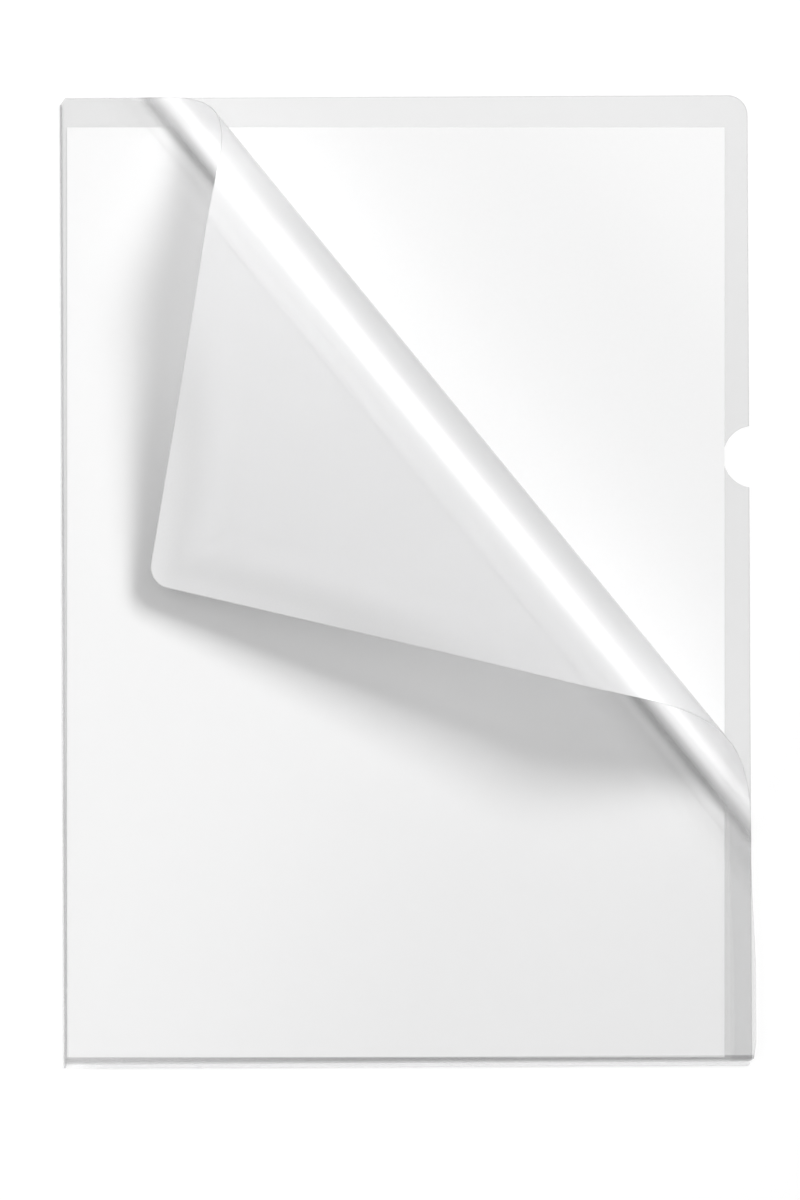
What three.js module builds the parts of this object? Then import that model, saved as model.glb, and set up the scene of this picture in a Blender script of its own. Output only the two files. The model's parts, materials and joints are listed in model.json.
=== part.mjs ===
// A clear L-shaped envelope for A4 paper, lying flat and seen from above.
// One film blank is folded along its left edge and welded along its bottom edge, so the
// pocket is open at the top and on the right. The front sheet's free corner is rolled over
// on a slanting line and lies back on the envelope. A sheet of paper is in the pocket.
//
// Millimetres. +X is to the right, +Y towards the top edge, +Z up from the table. The
// origin is on the table under the middle of the envelope.

import * as THREE from 'three';

// Envelope: outside size of the folded blank and the film it is made of.
const ENVELOPE_WIDTH = 220;
const ENVELOPE_HEIGHT = 310;
const FILM_THICKNESS = 0.2;
const POCKET_HEIGHT = 0.4;

// Edges and corners of the sheets.
const CORNER_RADIUS = 6.5;
const WELD_WIDTH = 1.5;
const TOP_TRIM_WIDTH = 1.7;
const TOP_TRIM_HEIGHT = 2.2;
const BOTTOM_TRIM_WIDTH = 2.0;
const BOTTOM_TRIM_HEIGHT = 2.4;

// Thumb notch: a half-round bite in the back sheet's right edge.
const NOTCH_RADIUS = 9.9;
const NOTCH_DEPTH = 8.3;
const NOTCH_BELOW_TOP = 115.5;

// Paper: A4, pushed almost to the fold and the weld, and a little askew.
const PAPER_WIDTH = 210;
const PAPER_HEIGHT = 297;
const PAPER_THICKNESS = 0.11;
const PAPER_LEFT_MARGIN = 1.9;
const PAPER_BOTTOM_MARGIN = 3.2;
const PAPER_LIFT = 0.1;
const PAPER_SKEW = THREE.MathUtils.degToRad(-0.27);

// Roll: the free corner of the front sheet turns over a round of this radius, about an axis
// that runs down to the right at this slope, and then lies back straight as a flap.
// The depth is how far the sheet's corner reached past the line where the roll starts.
const ROLL_SLOPE = THREE.MathUtils.degToRad(51);
const ROLL_RADIUS = 18.4;
const ROLL_TURN = THREE.MathUtils.degToRad(197);
const ROLL_DEPTH = 154.5;
const ROLL_BENDS = 12;
const BEND_GAP = 0.3;

const ARC_SEGMENTS = 24;
const FOLD_SEGMENTS = 12;

// Places that follow from the sizes above.
const LEFT = -ENVELOPE_WIDTH / 2;
const RIGHT = ENVELOPE_WIDTH / 2;
const BOTTOM = -ENVELOPE_HEIGHT / 2;
const TOP = ENVELOPE_HEIGHT / 2;
const FOLD_OUTER_RADIUS = FILM_THICKNESS + POCKET_HEIGHT / 2;
const FOLD_INNER_RADIUS = POCKET_HEIGHT / 2;
const SHEET_LEFT = LEFT + FOLD_OUTER_RADIUS;
const SHEET_BOTTOM = BOTTOM + WELD_WIDTH;
const FRONT_UNDERSIDE = FILM_THICKNESS + POCKET_HEIGHT;
const FRONT_TOP = FRONT_UNDERSIDE + FILM_THICKNESS;

// The round is stood in for by flat strips that touch it from outside, one between each
// two bends, so that the corner lies truly flat again once every bend is straightened.
const BEND_ANGLE = ROLL_TURN / ROLL_BENDS;
const STRIP_WIDTH = 2 * ROLL_RADIUS * Math.tan(BEND_ANGLE / 2);
const FIRST_BEND = STRIP_WIDTH / 2;
const LAST_BEND = FIRST_BEND + STRIP_WIDTH * (ROLL_BENDS - 1);

const FILM = {
  color: 0xe6e8ea,
  roughness: 0.3,
  metalness: 0,
  transparent: true,
  opacity: 0.4,
};

const PAPER = {
  color: 0xf7f7f5,
  roughness: 0.95,
  metalness: 0,
};

// A flat piece of the given outline, lying on its group's XY plane.
function flatPiece(name, outline, thickness, material) {
  const geometry = new THREE.ExtrudeGeometry(outline, {
    depth: thickness,
    bevelEnabled: false,
    curveSegments: ARC_SEGMENTS,
  });
  const mesh = new THREE.Mesh(geometry, new THREE.MeshStandardMaterial(material));
  mesh.name = name;
  return mesh;
}

// Where the slant of the trimmed corner at the bottom right is at a given height.
function bottomTrimX(y) {
  const rise = Math.min(1, (y - BOTTOM) / BOTTOM_TRIM_HEIGHT);
  return RIGHT - BOTTOM_TRIM_WIDTH * (1 - rise);
}

// The outline that both sheets are cut to, from the weld round the right side to the fold.
function sheetOutline(notched) {
  const outline = new THREE.Shape();
  outline.moveTo(SHEET_LEFT, SHEET_BOTTOM);
  outline.lineTo(bottomTrimX(SHEET_BOTTOM), SHEET_BOTTOM);
  if (BOTTOM_TRIM_HEIGHT > WELD_WIDTH) {
    outline.lineTo(RIGHT, BOTTOM + BOTTOM_TRIM_HEIGHT);
  }
  if (notched) {
    const middleX = RIGHT - NOTCH_DEPTH + NOTCH_RADIUS;
    const middleY = TOP - NOTCH_BELOW_TOP;
    const half = Math.acos((NOTCH_RADIUS - NOTCH_DEPTH) / NOTCH_RADIUS);
    outline.absarc(middleX, middleY, NOTCH_RADIUS, Math.PI + half, Math.PI - half, true);
  }
  outline.absarc(RIGHT - CORNER_RADIUS, TOP - CORNER_RADIUS, CORNER_RADIUS, 0, Math.PI / 2, false);
  outline.lineTo(SHEET_LEFT + TOP_TRIM_WIDTH, TOP);
  outline.lineTo(SHEET_LEFT, TOP - TOP_TRIM_HEIGHT);
  outline.closePath();
  return outline;
}

// Back sheet: the whole panel, with the thumb notch in its right edge.
function makeBackSheet() {
  return flatPiece('back_sheet', sheetOutline(true), FILM_THICKNESS, FILM);
}

// Fold: the film's half-round turn from the back sheet to the front sheet.
function makeSpineFold() {
  const length = ENVELOPE_HEIGHT - WELD_WIDTH - TOP_TRIM_HEIGHT;
  const section = new THREE.Shape();
  section.absarc(0, 0, FOLD_OUTER_RADIUS, Math.PI / 2, Math.PI * 1.5, false);
  section.absarc(0, 0, FOLD_INNER_RADIUS, Math.PI * 1.5, Math.PI / 2, true);
  section.closePath();
  const geometry = new THREE.ExtrudeGeometry(section, {
    depth: length,
    bevelEnabled: false,
    curveSegments: FOLD_SEGMENTS,
  });
  const fold = new THREE.Mesh(geometry, new THREE.MeshStandardMaterial(FILM));
  fold.name = 'spine_fold';
  fold.rotation.x = Math.PI / 2;
  fold.position.set(SHEET_LEFT, TOP - TOP_TRIM_HEIGHT, FOLD_OUTER_RADIUS);
  return fold;
}

// Bottom weld: the bead where the two sheets are melted together and cut off.
function makeBottomWeld() {
  const outline = new THREE.Shape();
  outline.moveTo(LEFT, BOTTOM);
  outline.lineTo(bottomTrimX(BOTTOM), BOTTOM);
  if (BOTTOM_TRIM_HEIGHT < WELD_WIDTH) {
    outline.lineTo(RIGHT, BOTTOM + BOTTOM_TRIM_HEIGHT);
  }
  outline.lineTo(bottomTrimX(SHEET_BOTTOM), SHEET_BOTTOM);
  outline.lineTo(LEFT, SHEET_BOTTOM);
  outline.closePath();
  return flatPiece('bottom_weld', outline, FRONT_TOP, FILM);
}

// The roll's own frame: X runs along the bends, down to the right, and Y across them
// towards the sheet's corner, which is at (0, ROLL_DEPTH) while the sheet is flat.
const ROLL_ORIGIN = new THREE.Vector2(
  RIGHT - ROLL_DEPTH * Math.sin(ROLL_SLOPE),
  TOP - ROLL_DEPTH * Math.cos(ROLL_SLOPE),
);

function toRollFrame(point) {
  return point.clone().rotateAround(ROLL_ORIGIN, ROLL_SLOPE).sub(ROLL_ORIGIN);
}

// The part of a convex outline that lies on the low side of a line across the roll's frame,
// or on its high side when side is -1.
function keepSide(points, line, side) {
  const kept = [];
  points.forEach((point, index) => {
    const next = points[(index + 1) % points.length];
    const here = side * (line - point.y);
    const there = side * (line - next.y);
    if (here >= 0) {
      kept.push(point);
    }
    if (here * there < 0) {
      kept.push(point.clone().lerp(next, here / (here - there)));
    }
  });
  return kept;
}

// The front sheet laid out flat, in the roll's frame, to be parted at the bends.
const FRONT_BLANK = sheetOutline(false).getPoints(ARC_SEGMENTS).map(toRollFrame);

// Front sheet: the part that still lies flat, up to the roll's first bend.
function makeFrontSheet() {
  const flatPart = keepSide(FRONT_BLANK, FIRST_BEND - BEND_GAP / 2, 1);
  const outline = flatPart.map((point) => (
    point.clone().add(ROLL_ORIGIN).rotateAround(ROLL_ORIGIN, -ROLL_SLOPE)
  ));
  const sheet = flatPiece('front_sheet', new THREE.Shape(outline), FILM_THICKNESS, FILM);
  sheet.position.z = FRONT_UNDERSIDE;
  return sheet;
}

// One flat strip of the round, between two bends.
function makeRollStrip(number) {
  const low = FIRST_BEND + STRIP_WIDTH * (number - 1) + BEND_GAP / 2;
  const high = low + STRIP_WIDTH - BEND_GAP;
  const strip = keepSide(keepSide(FRONT_BLANK, low, -1), high, 1);
  return flatPiece(`front_roll_${number}`, new THREE.Shape(strip), FILM_THICKNESS, FILM);
}

// Flap: the rest of the corner past the last bend, with its rounded tip.
function makeFrontFlap() {
  const flap = keepSide(FRONT_BLANK, LAST_BEND + BEND_GAP / 2, -1);
  return flatPiece('front_flap', new THREE.Shape(flap), FILM_THICKNESS, FILM);
}

// The rolled corner: a chain of bends, each carried by the strip before it. Every bend turns
// about a line in the film's upper face, which is the inside of the round.
function makeRolledCorner() {
  const corner = new THREE.Group();
  corner.position.set(ROLL_ORIGIN.x, ROLL_ORIGIN.y, FRONT_TOP);
  corner.rotation.z = -ROLL_SLOPE;
  let carrier = corner;
  let carrierStart = 0;
  for (let number = 1; number <= ROLL_BENDS; number += 1) {
    const start = FIRST_BEND + STRIP_WIDTH * (number - 1);
    const bend = new THREE.Group();
    bend.name = `bend_${number}`;
    bend.position.y = start - carrierStart;
    bend.rotation.x = BEND_ANGLE;
    const piece = number < ROLL_BENDS ? makeRollStrip(number) : makeFrontFlap();
    piece.position.set(0, -start, -FILM_THICKNESS);
    bend.add(piece);
    carrier.add(bend);
    carrier = bend;
    carrierStart = start;
  }
  return corner;
}

// Paper: one A4 sheet lying on the back sheet.
function makePaper() {
  const geometry = new THREE.BoxGeometry(PAPER_WIDTH, PAPER_HEIGHT, PAPER_THICKNESS);
  const paper = new THREE.Mesh(geometry, new THREE.MeshStandardMaterial(PAPER));
  paper.name = 'paper_sheet';
  paper.position.set(
    LEFT + PAPER_LEFT_MARGIN + PAPER_WIDTH / 2,
    BOTTOM + PAPER_BOTTOM_MARGIN + PAPER_HEIGHT / 2,
    FILM_THICKNESS + PAPER_LIFT + PAPER_THICKNESS / 2,
  );
  paper.rotation.z = PAPER_SKEW;
  return paper;
}

const envelope = new THREE.Group();
envelope.add(makeBackSheet());
envelope.add(makeSpineFold());
envelope.add(makeBottomWeld());
envelope.add(makeFrontSheet());
envelope.add(makeRolledCorner());
envelope.add(makePaper());

export default envelope;
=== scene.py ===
import json
import math

import bmesh
import bpy
from mathutils import Matrix, Vector


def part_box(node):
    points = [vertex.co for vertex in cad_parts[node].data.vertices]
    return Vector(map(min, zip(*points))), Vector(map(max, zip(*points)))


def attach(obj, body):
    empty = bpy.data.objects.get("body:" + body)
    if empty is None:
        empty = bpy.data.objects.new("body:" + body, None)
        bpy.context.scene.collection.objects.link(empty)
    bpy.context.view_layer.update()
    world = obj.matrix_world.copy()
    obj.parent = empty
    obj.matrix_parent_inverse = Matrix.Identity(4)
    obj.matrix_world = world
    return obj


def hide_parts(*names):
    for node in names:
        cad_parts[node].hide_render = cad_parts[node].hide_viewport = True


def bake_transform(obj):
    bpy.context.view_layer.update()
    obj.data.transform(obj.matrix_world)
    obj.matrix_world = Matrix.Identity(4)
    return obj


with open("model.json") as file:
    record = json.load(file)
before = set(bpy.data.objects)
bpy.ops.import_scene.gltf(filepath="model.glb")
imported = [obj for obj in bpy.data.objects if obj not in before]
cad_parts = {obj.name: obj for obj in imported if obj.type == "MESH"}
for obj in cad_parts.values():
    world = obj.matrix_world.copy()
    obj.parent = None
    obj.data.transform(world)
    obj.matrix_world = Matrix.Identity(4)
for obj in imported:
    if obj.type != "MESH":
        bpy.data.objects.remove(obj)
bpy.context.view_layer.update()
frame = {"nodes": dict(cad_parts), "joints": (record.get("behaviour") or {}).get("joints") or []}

scene = bpy.context.scene


# Camera. It hangs a metre over the table and looks straight down. Its aim and its turn come
# from where the envelope's middle lies in the photograph and how its edges lean there.
PHOTO_WIDTH = 800
PHOTO_HEIGHT = 1200
PIXELS_PER_METRE = 3130
ENVELOPE_MIDDLE_X = 405.5
ENVELOPE_MIDDLE_Y = 582.0
CAMERA_HEIGHT = 1.0
ENVELOPE_LEAN = math.radians(0.27)

camera = bpy.data.objects.new("camera", bpy.data.cameras.new("camera"))
scene.collection.objects.link(camera)
scene.camera = camera
camera.location = (
    (PHOTO_WIDTH / 2 - ENVELOPE_MIDDLE_X) / PIXELS_PER_METRE,
    (ENVELOPE_MIDDLE_Y - PHOTO_HEIGHT / 2) / PIXELS_PER_METRE,
    CAMERA_HEIGHT,
)
camera.rotation_euler = (0, 0, -ENVELOPE_LEAN)
camera.data.sensor_width = 36
camera.data.lens = camera.data.sensor_width * CAMERA_HEIGHT * PIXELS_PER_METRE / PHOTO_HEIGHT
scene.view_settings.view_transform = "Standard"


# Shader sums. One class holds a socket and writes the Math nodes for what is worked out
# from it, in a material's tree or in a geometry tree alike.
class Wire:
    def __init__(self, tree, socket=None):
        self.tree = tree
        self.socket = socket

    def node(self, kind, settings=None, inputs=None, output=0):
        """Adds a node: its settings first, then its sockets' values or links."""
        made = self.tree.nodes.new(kind)
        for name, setting in (settings or {}).items():
            setattr(made, name, setting)
        for name, value in (inputs or {}).items():
            if isinstance(value, Wire):
                self.tree.links.new(value.socket, made.inputs[name])
            else:
                made.inputs[name].default_value = value
        return Wire(self.tree, made.outputs[output])

    def math(self, operation, *values):
        return self.node("ShaderNodeMath", {"operation": operation}, dict(enumerate(values)))

    def __add__(self, other):
        return self.math("ADD", self, other)

    def __radd__(self, other):
        return self.math("ADD", other, self)

    def __sub__(self, other):
        return self.math("SUBTRACT", self, other)

    def __rsub__(self, other):
        return self.math("SUBTRACT", other, self)

    def __mul__(self, other):
        return self.math("MULTIPLY", self, other)

    def __rmul__(self, other):
        return self.math("MULTIPLY", other, self)

    def __truediv__(self, other):
        return self.math("DIVIDE", self, other)

    def ramp(self, start, end):
        """0 at start, 1 at end, and smooth between them."""
        return self.node(
            "ShaderNodeMapRange",
            {"interpolation_type": "SMOOTHSTEP"},
            {"Value": self, "From Min": start, "From Max": end},
        )


def start_material(name):
    """An empty material and the Wire that its nodes are made with."""
    material = bpy.data.materials.new(name)
    material.use_nodes = True
    material.node_tree.nodes.clear()
    return material, Wire(material.node_tree)


def finish_material(material, shader):
    output = shader.tree.nodes.new("ShaderNodeOutputMaterial")
    shader.tree.links.new(shader.socket, output.inputs["Surface"])
    return material


# Table and light: a pale table top that the camera sees as white, a soft lamp beyond the
# top right, a low strip lamp at the left that shines into the roll, a box overhead, and a
# small lamp at the upper left.
TABLE_SIZE = 24.0
TABLE_TOP = -0.0001
TABLE_COLOUR = (0.82, 0.82, 0.82, 1)
TABLE_SHADES = (0.45, 0.45, 0.45, 1)
TABLE_WHITE = 0.58
SKY_STRENGTH = 0.22
LAMPS = {
    "key_lamp": {"turn": 49, "rise": 44, "away": 2.5, "size": (0.8, 0.8), "power": 46.8},
    "strip_lamp": {"turn": 205, "rise": 15, "away": 0.8, "size": (0.9, 0.3), "power": 4.3},
    "soft_box": {"turn": 39, "rise": 74, "away": 1.3, "size": (1.1, 1.1), "power": 0.9},
    "left_lamp": {"turn": 145, "rise": 66, "away": 0.6, "size": (0.45, 0.45), "power": 0.6},
}


def make_table():
    mesh = bpy.data.meshes.new("table_top")
    half = TABLE_SIZE / 2
    sides = ((-half, -half), (half, -half), (half, half), (-half, half))
    mesh.from_pydata([(x, y, TABLE_TOP) for x, y in sides], [], [(0, 1, 2, 3)])
    table = bpy.data.objects.new("table_top", mesh)
    scene.collection.objects.link(table)
    material, wire = start_material("table_white")
    seen = wire.node("ShaderNodeLightPath")
    bounced = wire.node("ShaderNodeBsdfDiffuse", None, {"Color": TABLE_COLOUR})
    shown = wire.node(
        "ShaderNodeAddShader",
        None,
        {
            0: wire.node("ShaderNodeBsdfDiffuse", None, {"Color": TABLE_SHADES}),
            1: wire.node("ShaderNodeEmission", None, {"Strength": TABLE_WHITE}),
        },
    )
    surface = wire.node("ShaderNodeMixShader", None, {0: seen, 1: bounced, 2: shown})
    table.data.materials.append(finish_material(material, surface))


def make_lamp(name, turn, rise, away, size, power):
    """A soft lamp that faces the envelope's middle, turn degrees round from +X and rise
    degrees over the table."""
    lamp = bpy.data.objects.new(name, bpy.data.lights.new(name, "AREA"))
    lamp.data.shape = "RECTANGLE"
    lamp.data.size, lamp.data.size_y = size
    lamp.data.energy = power
    turn, rise = math.radians(turn), math.radians(rise)
    level = away * math.cos(rise)
    place = Vector((level * math.cos(turn), level * math.sin(turn), away * math.sin(rise)))
    lamp.location = place
    lamp.rotation_euler = (-place).to_track_quat("-Z", "Y").to_euler()
    lamp.visible_camera = False
    scene.collection.objects.link(lamp)


def make_sky():
    world = bpy.data.worlds.new("studio")
    scene.world = world
    world.use_nodes = True
    world.node_tree.nodes.clear()
    wire = Wire(world.node_tree)
    path = world.node_tree.nodes.new("ShaderNodeLightPath")
    seen = Wire(world.node_tree, path.outputs["Is Camera Ray"])
    mirrored = Wire(world.node_tree, path.outputs["Is Glossy Ray"])
    passed = Wire(world.node_tree, path.outputs["Is Transmission Ray"])
    direct = wire.math("MAXIMUM", wire.math("MAXIMUM", seen, mirrored), passed)
    sky = wire.node(
        "ShaderNodeBackground",
        None,
        {"Color": (1, 1, 1, 1), "Strength": SKY_STRENGTH + direct * (1 - SKY_STRENGTH)},
    )
    output = world.node_tree.nodes.new("ShaderNodeOutputWorld")
    world.node_tree.links.new(sky.socket, output.inputs["Surface"])


make_table()
make_sky()
for lamp_name, lamp_values in LAMPS.items():
    make_lamp(lamp_name, **lamp_values)


# Film: clear polypropylene, 0.2 mm thick, faintly milky, with a fine embossed grain on both
# faces. Its cut edges catch a thin grey line. All of the envelope is cut from one blank.
sheet_low, sheet_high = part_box("back_sheet")
weld_low, weld_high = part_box("bottom_weld")
fold_low, fold_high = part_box("spine_fold")
paper_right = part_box("paper_sheet")[1].x
FILM_THICKNESS = sheet_high.z
RIGHT = sheet_high.x
TOP = sheet_high.y
CORNER_RADIUS = 0.0065
FILM_COLOUR = (0.93, 0.93, 0.935, 1)
FILM_SHADE = 0.97
FILM_ROUGHNESS = 0.32
FILM_SPECULAR = 0.8

# The grain is the fine emboss, and the clouds are its uneven rub.
GRAIN_SCALE = 1400.0
GRAIN_SHADE = 0.04
GRAIN_STRENGTH = 0.25
GRAIN_DEPTH = 0.00003
CLOUD_SCALE = 30.0
CLOUD_SHADE = 0.02
CLOUD_ROUGHNESS = 0.1
NOISE_DETAIL = 2.0

# Heights over the table between which the film turns from clear to milky, and how it looks
# # above them. Light glows through a share of it, and it carries painted shade where it stands at a
# slant.
CLEAR_BELOW = 0.0012
MILKY_ABOVE = 0.0036
LIFTED_OPACITY = 0.6
LIFTED_SHADE = 0.01
SLANT_SHADE = 0.5
GLOW_SHARE = 0.5

# The flap's rim, measured in from its free edge, lets less light through.
RIM_WIDTH = (0.024, 0.002)
RIM_START = (0.0, 0.06)
RIM_OPACITY = 0.4
RIM_SHADE = 0.32

# Painted shade where the film starts to lift at the roll's foot, and a painted shadow of the roll
# on both sides of the bend, which stays as a faint grey line when the corner lies flat.
FOOT_SHADE_SLOPE = 0.035
FOOT_SHADE_OPACITY = 0.3
FOOT_SHADE_DEPTH = 0.6
LEAD_BEFORE = 0.010
LEAD_PAST = 0.006
BEND_SHADOW_DEPTH = 0.17
BEND_SHADOW_OPACITY = 0.08

# Grey lines along the cut edge, and painted shadow lines beside the paper's edge over the weld and
# # beside the fold, as distances from them.
EDGE_LINE_WIDTH = 0.0004
EDGE_SHADE = 0.3
EDGE_OPACITY = 0.1
WELD_MARK = (0.0031, 0.0037)
WELD_MARK_END = (0.0014, 0.0024)
WELD_MARK_DEPTH = 1.8
FOLD_MARK = (0.0014, 0.0019)
FOLD_MARK_AT_TOP = 0.3
SEAM_SHADOW_DEPTH = 0.23
SEAM_SHADOW_OPACITY = 0.09

# Painted shade that grows towards the lower right, where less light falls, and painted shade on
# # the strip at the lower right where the two sheets lie together past the paper.
LOWER_RIGHT_SHADE_REACH = (-0.09, 0.08)
LOWER_RIGHT_SHADE_LEAN = 0.5
LOWER_RIGHT_SHADE_DEPTH = 0.42
LOWER_RIGHT_SHADE_OPACITY = 0.08
STRIP_SHADE_PAST = 0.001
STRIP_SHADE_BELOW = (0.05, 0.1)
STRIP_SHADE_DEPTH = 0.06
STRIP_SHADE_OPACITY = 0.05

# Gloss: faint where the film lies, stronger where it is lifted, full at a glancing angle.
LYING_GLOSS = 0.01
LIFTED_GLOSS = 0.12
SLANT_POWER = 5.0
GLOSS_ROUGHNESS = 0.38


def film_material(name, place, lying_opacity, face_passes, bent_from=None):
    """place is the Wire of the flat blank's x and y. The film is clear where it lies on
    something, milky where it stands clear of it, and darkened by painted shade where it starts
    to lift. A painted shadow of the roll lies a little way to either side of the line that it is
    bent from, painted shade darkens it towards the lower right and on the strip past the paper,
    and painted shadow lines lie beside the weld and the fold. The flap's rim lets less light
    through."""
    material, wire = start_material(name)
    place = place(wire)
    split = wire.tree.nodes.new("ShaderNodeSeparateXYZ")
    wire.tree.links.new(place.socket, split.inputs[0])
    x, y = Wire(wire.tree, split.outputs[0]), Wire(wire.tree, split.outputs[1])
    inside_x = x - (RIGHT - CORNER_RADIUS)
    inside_y = y - (TOP - CORNER_RADIUS)
    out_x = wire.math("MAXIMUM", inside_x, 0.0)
    out_y = wire.math("MAXIMUM", inside_y, 0.0)
    round_part = wire.math("SQRT", out_x * out_x + out_y * out_y)
    flat_part = wire.math("MINIMUM", wire.math("MAXIMUM", inside_x, inside_y), 0.0)
    to_edge = CORNER_RADIUS - (round_part + flat_part)
    edge = to_edge.ramp(EDGE_LINE_WIDTH, 0.0)
    position = wire.node("ShaderNodeNewGeometry", output="Position")
    normal = wire.node("ShaderNodeNewGeometry", output="Normal")
    height = wire.node("ShaderNodeSeparateXYZ", None, {0: position}, "Z")
    upright = wire.math("ABSOLUTE", wire.node("ShaderNodeSeparateXYZ", None, {0: normal}, "Z"))
    lifted = height.ramp(CLEAR_BELOW, MILKY_ABOVE)
    # Painted shade at the roll's foot, where the film starts to lift: darker colour and more
    # opacity.
    painted_foot_shade = (1 - upright).ramp(0.0, FOOT_SHADE_SLOPE) * (1 - lifted)
    # Painted shade that grows towards the lower right, where less light falls.
    painted_lower_right_shade = (x - y * LOWER_RIGHT_SHADE_LEAN).ramp(*LOWER_RIGHT_SHADE_REACH) * (1 - lifted) * (1 - painted_foot_shade)
    painted_bend_shadow, rim = 0.0, 0.0
    if bent_from:
        point, way, rolled = bent_from
        past = (x - point.x) * way.x + (y - point.y) * way.y
        rim = to_edge.ramp(*RIM_WIDTH) * lifted * (past - rolled).ramp(*RIM_START)
        # Painted shadow of the roll, a little way to either side of the line that it is bent from.
        painted_bend_shadow = past.ramp(-LEAD_BEFORE, 0.0) * past.ramp(LEAD_PAST, 0.0)
    over_weld = y - weld_low.y
    # Painted shadow lines where the film dips off the paper's edge to the weld and beside the fold.
    painted_weld_shadow = over_weld.ramp(WELD_MARK[1], WELD_MARK[0]) * over_weld.ramp(*WELD_MARK_END)
    painted_weld_shadow = painted_weld_shadow * WELD_MARK_DEPTH
    down = y * -1
    lower = FOLD_MARK_AT_TOP + down.ramp(-TOP, TOP) * (1 - FOLD_MARK_AT_TOP)
    painted_fold_shadow = (x - fold_low.x).ramp(FOLD_MARK[1], FOLD_MARK[0]) * lower
    painted_seam_shadow = wire.math("MAXIMUM", painted_weld_shadow, painted_fold_shadow)
    # Painted shade on the lower right strip past the paper, where less light falls.
    painted_strip_shade = (x - paper_right).ramp(0.0, STRIP_SHADE_PAST) * down.ramp(*STRIP_SHADE_BELOW)
    grain, cloud = [
        wire.node(
            "ShaderNodeTexNoise", None, {"Vector": place, "Scale": scale, "Detail": NOISE_DETAIL}
        )
        for scale in (GRAIN_SCALE, CLOUD_SCALE)
    ]
    shade = FILM_SHADE + grain * GRAIN_SHADE + cloud * CLOUD_SHADE - edge * EDGE_SHADE
    shade = shade - painted_seam_shadow * SEAM_SHADOW_DEPTH - painted_strip_shade * STRIP_SHADE_DEPTH
    shade = shade - painted_lower_right_shade * LOWER_RIGHT_SHADE_DEPTH - painted_bend_shadow * BEND_SHADOW_DEPTH - rim * RIM_SHADE
    # Painted shade: lifted film is darker the more it slants.
    shade = shade - lifted * (LIFTED_SHADE + (1 - upright) * SLANT_SHADE)
    # The painted shade at the roll's foot darkens the colour here.
    shade = shade * (1 - painted_foot_shade * FOOT_SHADE_DEPTH)
    colour = wire.node(
        "ShaderNodeMix",
        {"data_type": "RGBA", "blend_type": "MULTIPLY"},
        {"Factor": 1.0, 6: FILM_COLOUR, 7: shade},
        output=2,
    )
    bump = wire.node(
        "ShaderNodeBump",
        None,
        {"Strength": GRAIN_STRENGTH, "Distance": GRAIN_DEPTH, "Height": grain},
    )
    body = wire.node(
        "ShaderNodeBsdfPrincipled",
        None,
        {
            "Base Color": colour,
            "Roughness": FILM_ROUGHNESS + cloud * CLOUD_ROUGHNESS,
            "Specular IOR Level": FILM_SPECULAR,
            "Normal": bump,
        },
    )
    glow = wire.node("ShaderNodeBsdfTranslucent", None, {"Color": FILM_COLOUR, "Normal": bump})
    glowing = GLOW_SHARE * (1 - painted_foot_shade) * (1 - rim)
    filled = wire.node("ShaderNodeMixShader", None, {0: glowing, 1: body, 2: glow})
    milky = lying_opacity + lifted * (LIFTED_OPACITY - lying_opacity) + painted_foot_shade * FOOT_SHADE_OPACITY
    milky = milky + edge * EDGE_OPACITY + painted_seam_shadow * SEAM_SHADOW_OPACITY + painted_strip_shade * STRIP_SHADE_OPACITY
    milky = milky + painted_lower_right_shade * LOWER_RIGHT_SHADE_OPACITY + painted_bend_shadow * BEND_SHADOW_OPACITY + rim * RIM_OPACITY
    clear = wire.node("ShaderNodeBsdfTransparent", None, {"Color": face_passes})
    panel = wire.node("ShaderNodeMixShader", None, {0: milky, 1: clear, 2: filled})
    slant = wire.node("ShaderNodeLayerWeight", None, {"Blend": 0.5}, "Facing")
    mirror = wire.node("ShaderNodeBsdfAnisotropic", None, {"Roughness": GLOSS_ROUGHNESS})
    head_on = LYING_GLOSS + lifted * (LIFTED_GLOSS - LYING_GLOSS)
    mirrored = head_on + (1 - head_on) * wire.math("POWER", slant, SLANT_POWER)
    return finish_material(
        material, wire.node("ShaderNodeMixShader", None, {0: mirrored, 1: panel, 2: mirror})
    )


def place_in_part(wire):
    return wire.node("ShaderNodeTexCoord", None, None, "Object")


# Back sheet: the whole rear panel of the same film, flat on the table. The thumb notch is
# punched into its free edge, and the front sheet is folded over from its spine.
BACK_OPACITY = 0.04
BACK_PASSES = (0.936, 0.936, 0.936, 1)
back_film = film_material("back_film", place_in_part, BACK_OPACITY, BACK_PASSES)
back_sheet = frame["nodes"]["back_sheet"]
back_sheet.data.materials.clear()
back_sheet.data.materials.append(back_film)


# Spine fold: the film's tight turn along the left edge. It springs open a little into a
# rounded bead, is flattened at both ends, and carries the grey of film seen edge on.
BEAD_SIDES = 16
BEAD_END = 0.0011
FOLD_WIDTH = 0.0011
FOLD_GREY = (0.97, 0.97, 0.98, 1)
BEAD_OPACITY = 0.22
BEAD_PASSES = (0.985, 0.985, 0.985, 1)
BEAD_SHADE = 0.85
BEAD_ROUGHNESS = 0.25
BEAD_SPECULAR = 0.6
STREAK_ALONG = 40
STREAK_ACROSS = 900
STREAK_DETAIL = 3.0
STREAK_SHADE = 0.22
STREAK_OPACITY = 0.15
STREAK_STRENGTH = 0.4
STREAK_DEPTH = 0.00005
LIGHT_END_SHADE = 0.16
LIGHT_END_OPACITY = 0.2
SPINE_LIGHT_END = (-0.08, 0.14)
SPINE_FOOT_GAP = 0.0003

# The bead's section is a rounded box, narrower and lower at its ends. The mouth is the slot
# for the paper's edge. The last five are shares of the bead's half width and half height.
BEAD_ROUNDNESS = 0.7
BEAD_END_STEPS = 6
BEAD_STEPS = 96
END_WIDTH = 0.45
END_HEIGHT = 0.55
MOUTH_HEIGHT = 0.35
MOUTH_DEPTH = 0.36
MOUTH_LIP = 0.98


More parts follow.
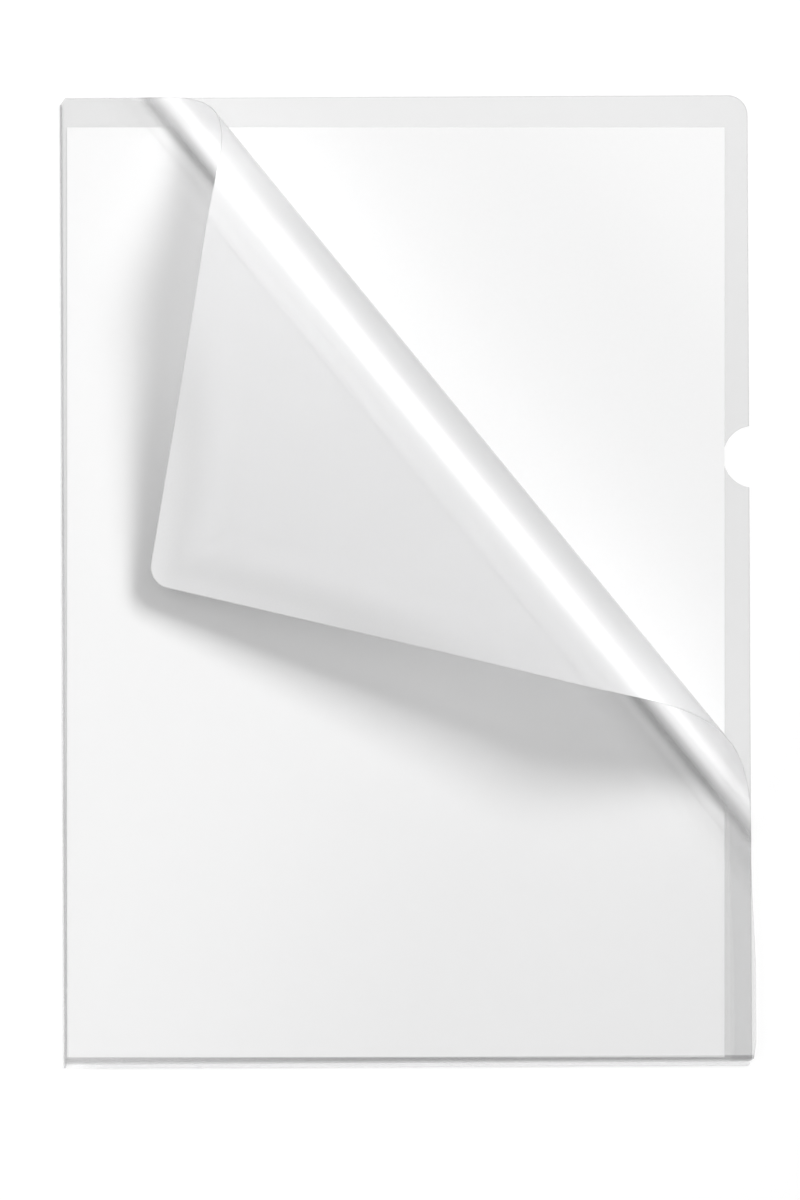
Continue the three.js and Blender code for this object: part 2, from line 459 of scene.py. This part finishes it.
def bead_material(name, colour, light_end, axis):
    """Film seen edge on: greyer than the sheets, with light streaks along its length, which
    runs along the given axis, and lighter towards one end."""
    material, wire = start_material(name)
    place = place_in_part(wire)
    scale = [STREAK_ACROSS, STREAK_ACROSS, STREAK_ACROSS]
    scale["XY".index(axis)] = STREAK_ALONG
    stretched = wire.node("ShaderNodeMapping", None, {"Vector": place, "Scale": scale})
    streaks = wire.node(
        "ShaderNodeTexNoise", None, {"Vector": stretched, "Scale": 1.0, "Detail": STREAK_DETAIL}
    )
    along_bead = wire.node("ShaderNodeSeparateXYZ", None, {0: place}, axis)
    light = along_bead.ramp(*light_end)
    streaked = BEAD_SHADE + streaks * STREAK_SHADE + light * LIGHT_END_SHADE
    shade = wire.node(
        "ShaderNodeMix",
        {"data_type": "RGBA", "blend_type": "MULTIPLY"},
        {"Factor": 1.0, 6: colour, 7: streaked},
        output=2,
    )
    bump = wire.node(
        "ShaderNodeBump",
        None,
        {"Strength": STREAK_STRENGTH, "Distance": STREAK_DEPTH, "Height": streaks},
    )
    body = wire.node(
        "ShaderNodeBsdfPrincipled",
        None,
        {
            "Base Color": shade,
            "Roughness": BEAD_ROUGHNESS,
            "Specular IOR Level": BEAD_SPECULAR,
            "Normal": bump,
        },
    )
    clear = wire.node("ShaderNodeBsdfTransparent", None, {"Color": BEAD_PASSES})
    opacity = BEAD_OPACITY + streaks * STREAK_OPACITY - light * LIGHT_END_OPACITY
    return finish_material(
        material, wire.node("ShaderNodeMixShader", None, {0: opacity, 1: clear, 2: body})
    )


def bead(name, start, end, width, low, high, mouth=False):
    """A rounded bead along a straight edge, from z low to z high, that narrows at its ends.
    A bead with a mouth is hollow and open along its inner side, for the paper's edge."""
    work = bmesh.new()
    way = (end - start).normalized()
    side = Vector((way.y, -way.x, 0))
    length = (end - start).length
    middle_height = (low + high) / 2
    quarter = math.pi / 2
    places = [
        BEAD_END * (1 - math.cos(quarter * step / BEAD_END_STEPS))
        for step in range(BEAD_END_STEPS + 1)
    ]
    middle_length = length - 2 * BEAD_END
    inner = [BEAD_END + middle_length * step / BEAD_STEPS for step in range(1, BEAD_STEPS)]
    places = places + inner + [length - place for place in reversed(places)]
    section = []
    for corner in range(1 if mouth else 0, BEAD_SIDES):
        turn = 2 * math.pi * corner / BEAD_SIDES
        section.append([
            math.copysign(abs(share) ** BEAD_ROUNDNESS, share)
            for share in (math.cos(turn), math.sin(turn))
        ])
    if mouth:
        section += [(MOUTH_LIP, -MOUTH_HEIGHT), (-MOUTH_DEPTH, -MOUTH_HEIGHT)]
        section += [(-MOUTH_DEPTH, MOUTH_HEIGHT), (MOUTH_LIP, MOUTH_HEIGHT)]
    rings = []
    for place in places:
        to_end = min(place, length - place, BEAD_END)
        full = math.sqrt(max(1 - (1 - to_end / BEAD_END) ** 2, 0.0))
        middle = start + way * place
        spread = width / 2 * (END_WIDTH + (1 - END_WIDTH) * full)
        rise = (high - low) / 2 * (END_HEIGHT + (1 - END_HEIGHT) * full)
        rings.append([
            work.verts.new(middle + side * out * spread + Vector((0, 0, middle_height + up * rise)))
            for out, up in section
        ])
    for lower_ring, upper_ring in zip(rings, rings[1:]):
        for corner in range(len(section)):
            following = (corner + 1) % len(section)
            lower_pair = [lower_ring[corner], lower_ring[following]]
            work.faces.new(lower_pair + [upper_ring[following], upper_ring[corner]])
    work.faces.new(rings[0])
    work.faces.new(rings[-1])
    for face in work.faces:
        face.smooth = True
    bmesh.ops.recalc_face_normals(work, faces=work.faces[:])
    mesh = bpy.data.meshes.new(name)
    work.to_mesh(mesh)
    work.free()
    piece = bpy.data.objects.new(name, mesh)
    scene.collection.objects.link(piece)
    return piece


spine_bead = bead(
    "spine_bead",
    Vector((fold_low.x + FOLD_WIDTH / 2, weld_low.y + SPINE_FOOT_GAP, 0)),
    Vector((fold_low.x + FOLD_WIDTH / 2, fold_high.y, 0)),
    FOLD_WIDTH,
    fold_low.z,
    fold_high.z,
    mouth=True,
)
spine_bead.data.materials.append(bead_material("folded_film", FOLD_GREY, SPINE_LIGHT_END, "Y"))
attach(spine_bead, "envelope")
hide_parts("spine_fold")


# Bottom weld: both sheets melted together along the bottom edge and cut off hot, which
# leaves a smooth grey bead.
WELD_GREY = (0.88, 0.88, 0.89, 1)
WELD_LIGHT_END = (-0.096, -0.108)
WELD_SIDE_GAP = 0.0004
weld_bead = bead(
    "weld_bead",
    Vector((weld_low.x + WELD_SIDE_GAP, (weld_low.y + weld_high.y) / 2, 0)),
    Vector((weld_high.x, (weld_low.y + weld_high.y) / 2, 0)),
    weld_high.y - weld_low.y,
    weld_low.z,
    weld_high.z,
)
weld_bead.data.materials.append(bead_material("melted_film", WELD_GREY, WELD_LIGHT_END, "X"))
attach(weld_bead, "envelope")
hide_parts("bottom_weld")


# Front sheet and its rolled corner: one film panel. It lies flat up to the line where the
# roll starts, turns over a round in twelve bends, and its corner lies back as a flat flap.
# Its pieces part at the middle lines between the bends, where only one body leads.
TOP_TRIM = (0.0017, 0.0022)
BOTTOM_TRIM = (0.0020, 0.0024)
CORNER_STEPS = 16
RULING = 0.012
FINE_RULING = 0.003
DOUBLES_WITHIN = 1e-6
CURL = 6.0
CURL_WIDTH = 0.012
CURL_START = 0.02
FLAP_LINES = 41
SHEET_LINES = 55
PAST_EDGE = 1.0

# The flat sheet's waves die out towards its fold, its weld, its free edge and the roll.
WAVE_HEIGHT = 0.00035
WAVE_FROM_ROLL = (0.004, 0.04)
WAVE_FROM_SEAM = (0.002, 0.03)
WAVE_FROM_EDGE = (0.0, 0.02)
WAVE_UP_RIGHT = (62, 31)
WAVE_DOWN_RIGHT = (18, 74)
SIDE_BULGE = 0.0013
BULGE_REACH = (0.088, 0.128)
BULGE_FROM = 0.03
BULGE_FROM_WELD = 0.002
LYING_OPACITY = 0.022
FRONT_PASSES = (0.984, 0.984, 0.984, 1)

# The round, worked out from the joints: its foot line, its axis and the way across it.
bends = [j for j in frame["joints"] if j["name"].startswith("corner_bend_")]
along = -Vector(bends[0]["axis"])
across = Vector((-along.y, along.x, 0))
bend_angle = math.radians(bends[0]["range_deg"][1])
strip_width = (Vector(bends[1]["pos_m"]) - Vector(bends[0]["pos_m"])).length
roll_radius = strip_width / 2 / math.tan(bend_angle / 2)
roll_foot = Vector(bends[0]["pos_m"]) - across * strip_width / 2
roll_frame = Matrix.Translation(roll_foot) @ Matrix(
    ((along.x, across.x, 0, 0), (along.y, across.y, 0, 0), (0, 0, 1, 0), (0, 0, 0, 1))
)


def front_outline():
    """The front sheet's outline as it lies flat, x and y in the part's frame."""
    weld_top = weld_high.y
    trim_share = (weld_top - weld_low.y) / BOTTOM_TRIM[1]
    points = [
        Vector((sheet_low.x, weld_top)),
        Vector((RIGHT - BOTTOM_TRIM[0] * (1 - trim_share), weld_top)),
        Vector((RIGHT, weld_low.y + BOTTOM_TRIM[1])),
    ]
    middle = Vector((RIGHT - CORNER_RADIUS, TOP - CORNER_RADIUS))
    for step in range(CORNER_STEPS + 1):
        turn = math.pi / 2 * step / CORNER_STEPS
        points.append(middle + CORNER_RADIUS * Vector((math.cos(turn), math.sin(turn))))
    points.append(Vector((sheet_low.x + TOP_TRIM[0], TOP)))
    points.append(Vector((sheet_low.x, TOP - TOP_TRIM[1])))
    return points


def smooth(value, low, high):
    share = min(max((value - low) / (high - low), 0), 1)
    return share * share * (3 - 2 * share)


def edge_curl(place):
    """The flap's free edges have curled up a little from the flat of its film."""
    reach_x = place.x - (RIGHT - CORNER_RADIUS)
    reach_y = place.y - (TOP - CORNER_RADIUS)
    outside = math.hypot(max(reach_x, 0), max(reach_y, 0)) + min(max(reach_x, reach_y), 0)
    near = max(CURL_WIDTH - (CORNER_RADIUS - outside), 0)
    past = (place - roll_foot).dot(across) - strip_width * len(bends)
    return Vector((0, 0, CURL * near * near * smooth(past, 0, CURL_START)))


def sheet_waves(place):
    """The flat front film rises in long low waves over the paper, and near the bottom right
    its free edge has shifted a little past the back sheet's."""
    before = (roll_foot - place).dot(across)
    free = smooth(before, *WAVE_FROM_ROLL) * smooth(place.x - sheet_low.x, *WAVE_FROM_SEAM)
    free = free * smooth(place.y - weld_high.y, *WAVE_FROM_SEAM)
    free = free * smooth(RIGHT - place.x, *WAVE_FROM_EDGE)
    up_right = math.sin(place.x * WAVE_UP_RIGHT[0] + place.y * WAVE_UP_RIGHT[1])
    down_right = math.sin(place.y * WAVE_DOWN_RIGHT[1] - place.x * WAVE_DOWN_RIGHT[0])
    wave = 0.5 + 0.25 * up_right + 0.25 * down_right
    shift = SIDE_BULGE * smooth(place.x, BULGE_FROM, RIGHT) * smooth(-place.y, *BULGE_REACH)
    shift = shift * smooth(place.y, weld_high.y, weld_high.y + BULGE_FROM_WELD)
    return Vector((shift * along.x, shift * across.x, WAVE_HEIGHT * free * wave))


def cut(work, point, normal, **cleared):
    """Cuts the flat film through a point, across a normal."""
    whole = work.verts[:] + work.edges[:] + work.faces[:]
    bmesh.ops.bisect_plane(work, geom=whole, plane_co=point, plane_no=normal, **cleared)


def in_order(parts, place):
    """Numbers a mesh's corners or faces by their place, so that each run gives the same mesh."""
    ranks = {part: rank for rank, part in enumerate(sorted(parts, key=place))}
    parts.sort(key=ranks.get)


def film_band(name, low, high, lines, ruling=RULING, settle=None):
    """A closed band of the front film, 0.2 mm thick, laid out flat in the roll's frame between
    two lines across it, and ruled at the given lines. Its UV map holds its place in the blank."""
    to_roll = roll_frame.inverted()
    work = bmesh.new()
    corners = [to_roll @ Vector((p.x, p.y, roll_foot.z)) for p in front_outline()]
    work.faces.new([work.verts.new(corner) for corner in corners])
    cut(work, (0, low, 0), (0, 1, 0), clear_inner=True)
    cut(work, (0, high, 0), (0, 1, 0), clear_outer=True)
    for place in lines:
        cut(work, (0, place, 0), (0, 1, 0))
    reach = max(abs(v.co.x) for v in work.verts)
    for step in range(-int(reach / ruling), int(reach / ruling) + 1):
        cut(work, (step * ruling, 0, 0), (1, 0, 0))
    bmesh.ops.remove_doubles(work, verts=work.verts[:], dist=DOUBLES_WITHIN)
    for face in work.faces:
        if face.normal.z < 0:
            face.normal_flip()
    top = work.faces[:]
    walls = bmesh.ops.extrude_face_region(work, geom=top)
    for item in walls["geom"]:
        if isinstance(item, bmesh.types.BMVert):
            item.co.z -= FILM_THICKNESS
    bmesh.ops.recalc_face_normals(work, faces=work.faces[:])
    blank = work.loops.layers.uv.new("blank")
    for face in work.faces:
        face.smooth = abs(face.normal.z) > 0.5
        for loop in face.loops:
            flat = roll_frame @ loop.vert.co
            loop[blank].uv = (flat.x, flat.y)
    for rim in work.edges:
        rim.smooth = all(face.smooth for face in rim.link_faces)
    if settle:
        for vert in work.verts:
            vert.co += settle(roll_frame @ Vector((vert.co.x, vert.co.y, 0)))
    in_order(work.verts, lambda vert: tuple(vert.co))
    in_order(work.faces, lambda face: tuple(face.calc_center_median()))
    mesh = bpy.data.meshes.new(name)
    work.to_mesh(mesh)
    work.free()
    piece = bpy.data.objects.new(name, mesh)
    scene.collection.objects.link(piece)
    return piece


def roll_tree(material):
    """Bends a flat band over the round: its Y is the way across the roll, and its Z the height
    over the film's upper face."""
    tree = bpy.data.node_groups.new("bend_over_round", "GeometryNodeTree")
    tree.interface.new_socket("Geometry", in_out="INPUT", socket_type="NodeSocketGeometry")
    for name in ("Radius", "Strip width", "Bend angle", "Bends"):
        tree.interface.new_socket(name, in_out="INPUT", socket_type="NodeSocketFloat")
    tree.interface.new_socket("Geometry", in_out="OUTPUT", socket_type="NodeSocketGeometry")
    group = tree.nodes.new("NodeGroupInput")
    shape, radius, width, angle, count = [Wire(tree, s) for s in group.outputs[:5]]
    wire = Wire(tree)
    position = wire.node("GeometryNodeInputPosition")
    split = tree.nodes.new("ShaderNodeSeparateXYZ")
    tree.links.new(position.socket, split.inputs[0])
    x, y, z = [Wire(tree, s) for s in split.outputs]
    turned = wire.math("MINIMUM", wire.math("MAXIMUM", y / width, 0.0), count) * angle
    before = wire.math("MINIMUM", y, 0.0)
    past = wire.math("MAXIMUM", y - width * count, 0.0)
    sine, cosine = wire.math("SINE", turned), wire.math("COSINE", turned)
    arm = radius - z
    bent = wire.node(
        "ShaderNodeCombineXYZ",
        None,
        {0: x, 1: before + arm * sine + past * cosine, 2: radius - arm * cosine + past * sine},
    )
    moved = wire.node("GeometryNodeSetPosition", None, {"Geometry": shape, "Position": bent})
    whole = wire.node("GeometryNodeRealizeInstances", None, {"Geometry": moved})
    dressed = wire.node("GeometryNodeSetMaterial", None, {"Geometry": whole, "Material": material})
    output = tree.nodes.new("NodeGroupOutput")
    tree.links.new(dressed.socket, output.inputs[0])
    return tree


def place_in_blank(wire):
    return wire.node("ShaderNodeUVMap", {"uv_map": "blank"})


front_film = film_material(
    "front_film",
    place_in_blank,
    LYING_OPACITY,
    FRONT_PASSES,
    (roll_foot, across, strip_width * len(bends)),
)
bend_over_round = roll_tree(front_film)


def roll_up(piece, round_shading=True):
    """Puts the band over the round and in its place, as a plain mesh."""
    modifier = piece.modifiers.new("round", "NODES")
    modifier.node_group = bend_over_round
    values = {
        "Radius": roll_radius,
        "Strip width": strip_width,
        "Bend angle": bend_angle,
        "Bends": float(len(bends)),
    }
    for item in bend_over_round.interface.items_tree:
        if item.item_type == "SOCKET" and item.in_out == "INPUT" and item.name in values:
            modifier[item.identifier] = values[item.name]
    flat = piece.data
    heights = [v.co.y for v in flat.vertices]
    ups = [1 if v.co.z > -FILM_THICKNESS / 2 else -1 for v in flat.vertices]
    depsgraph = bpy.context.evaluated_depsgraph_get()
    mesh = bpy.data.meshes.new_from_object(piece.evaluated_get(depsgraph))
    piece.modifiers.remove(modifier)
    mesh.transform(roll_frame)
    piece.data = mesh
    mesh.name = piece.name
    bpy.data.meshes.remove(flat)
    if not round_shading:
        return piece
    normals = []
    for polygon in mesh.polygons:
        for index in polygon.loop_indices:
            vertex = mesh.loops[index].vertex_index
            turned = min(max(heights[vertex] / strip_width, 0), len(bends)) * bend_angle
            true = (across * -math.sin(turned) + Vector((0, 0, math.cos(turned)))) * ups[vertex]
            normals.append(true if polygon.use_smooth else polygon.normal)
    mesh.normals_split_custom_set(normals)
    return piece


flat_lines = [-step * RULING / 2 for step in range(1, SHEET_LINES + 1)]
front_sheet = roll_up(
    film_band("front_sheet_film", -PAST_EDGE, 0.0, flat_lines, RULING / 2, sheet_waves),
    round_shading=False,
)
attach(front_sheet, "envelope")
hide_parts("front_sheet")

for number, bend in enumerate(bends, start=1):
    low = strip_width * (number - 1)
    high = strip_width * number
    band = roll_up(film_band(f"roll_film_{number}", low, high, [(low + high) / 2]))
    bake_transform(band)
    if number < len(bends):
        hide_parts(f"front_roll_{number}")

rolled = strip_width * len(bends)
flap_lines = [rolled + step * FINE_RULING for step in range(1, FLAP_LINES + 1)]
flap = roll_up(
    film_band("corner_flap_film", rolled, PAST_EDGE, flap_lines, FINE_RULING, edge_curl),
    round_shading=False,
)
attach(flap, "flap")
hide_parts("front_flap")


# Paper: one white A4 sheet of plain office paper, cut square. It lies loose in the pocket
# under the front film, and shows bare where the corner is rolled back.
PAPER_COLOUR = (0.93, 0.93, 0.93, 1)
PAPER_SHADE = 0.99
PAPER_ROUGHNESS = 0.9
PAPER_SPECULAR = 0.2
FIBRE_SCALE = 900.0
FIBRE_DETAIL = 4.0
FIBRE_SHADE = 0.02
FIBRE_STRENGTH = 0.3
FIBRE_DEPTH = 0.00002
paper = frame["nodes"]["paper_sheet"]
paper_white, wire = start_material("paper_white")
fibres = wire.node(
    "ShaderNodeTexNoise",
    None,
    {"Vector": place_in_part(wire), "Scale": FIBRE_SCALE, "Detail": FIBRE_DETAIL},
)
shade = wire.node(
    "ShaderNodeMix",
    {"data_type": "RGBA", "blend_type": "MULTIPLY"},
    {"Factor": 1.0, 6: PAPER_COLOUR, 7: PAPER_SHADE + fibres * FIBRE_SHADE},
    output=2,
)
fibre_bump = wire.node(
    "ShaderNodeBump",
    None,
    {"Strength": FIBRE_STRENGTH, "Distance": FIBRE_DEPTH, "Height": fibres},
)
finish_material(
    paper_white,
    wire.node(
        "ShaderNodeBsdfPrincipled",
        None,
        {
            "Base Color": shade,
            "Roughness": PAPER_ROUGHNESS,
            "Specular IOR Level": PAPER_SPECULAR,
            "Normal": fibre_bump,
        },
    ),
)
paper.data.materials.clear()
paper.data.materials.append(paper_white)
